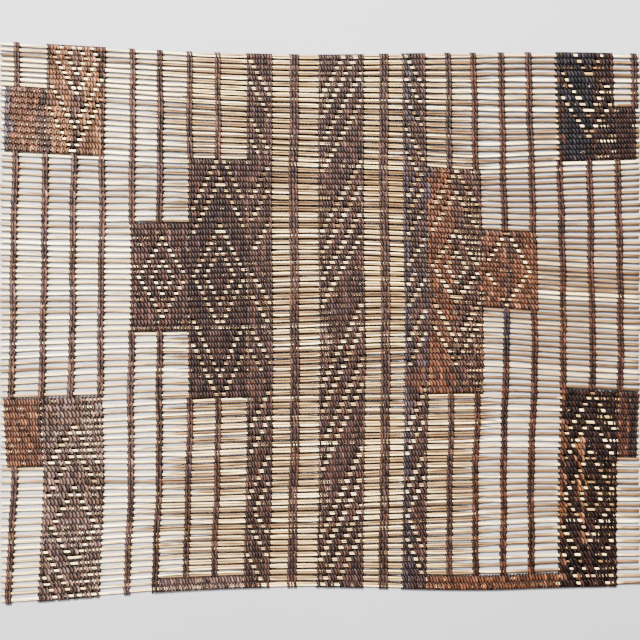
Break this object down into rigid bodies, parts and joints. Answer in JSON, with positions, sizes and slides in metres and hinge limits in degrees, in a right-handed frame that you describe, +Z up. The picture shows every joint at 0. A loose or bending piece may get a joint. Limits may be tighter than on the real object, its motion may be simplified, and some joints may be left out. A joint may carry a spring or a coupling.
{
  "type": "reed and leather rug",
  "caption": "Flat rug of straw-coloured reed stalks bound by dark twined leather thongs, worked as narrow ribs, full-length bands and solid corner and side blocks.",
  "frame": {"origin": "middle of the rug's underside, on the surface that it lies on", "axes": "+Z up through the rug's face, +X along the reeds to the right, +Y along the thong columns to the top"},
  "size_m": [0.642, 0.5622, 0.0052],
  "materials": {
    "reed_straw": "dry split reed, satin",
    "leather_brown": "worn dark brown thong",
    "leather_rust": "worn red-brown thong",
    "leather_navy": "blue-black thong",
    "leather_black": "black-brown thong"
  },
  "bodies": {
    "root": {"band_left": "leather_brown", "band_middle": "leather_brown", "band_right": "leather_brown", "block_foot_left": "leather_brown", "block_foot_right": "leather_rust", "block_left_inner": "leather_brown", "block_left_outer": "leather_brown", "block_low_left": "leather_brown", "block_low_left_edge": "leather_rust", "block_low_right": "leather_black", "block_low_right_edge": "leather_rust", "block_right_inner": "leather_rust", "block_right_outer": "leather_rust", "block_top_left": "leather_rust", "block_top_left_edge": "leather_rust", "block_top_right": "leather_navy", "block_top_right_edge": "leather_black", "reeds": "reed_straw", "rib_inner_left_1": "leather_brown", "rib_inner_right_1": "leather_brown", "rib_left_1_1": "leather_brown", "rib_left_1_2": "leather_brown", "rib_left_2_1": "leather_brown", "rib_left_2_2": "leather_brown", "rib_left_3_1": "leather_brown", "rib_left_3_2": "leather_brown", "rib_left_4_1": "leather_brown", "rib_left_4_2": "leather_brown", "rib_left_5_1": "leather_brown", "rib_left_6_1": "leather_brown", "rib_left_7_1": "leather_brown", "rib_left_8_1": "leather_brown", "rib_left_8_2": "leather_brown", "rib_left_8_3": "leather_brown", "rib_right_1_1": "leather_brown", "rib_right_1_2": "leather_brown", "rib_right_2_1": "leather_brown", "rib_right_2_2": "leather_brown", "rib_right_3_1": "leather_brown", "rib_right_3_2": "leather_brown", "rib_right_4_1": "leather_brown", "rib_right_4_2": "leather_brown", "rib_right_5_1": "leather_brown", "rib_right_6_1": "leather_brown", "rib_right_7_1": "leather_brown", "rib_right_8_1": "leather_brown"}
  },
  "joints": []
}
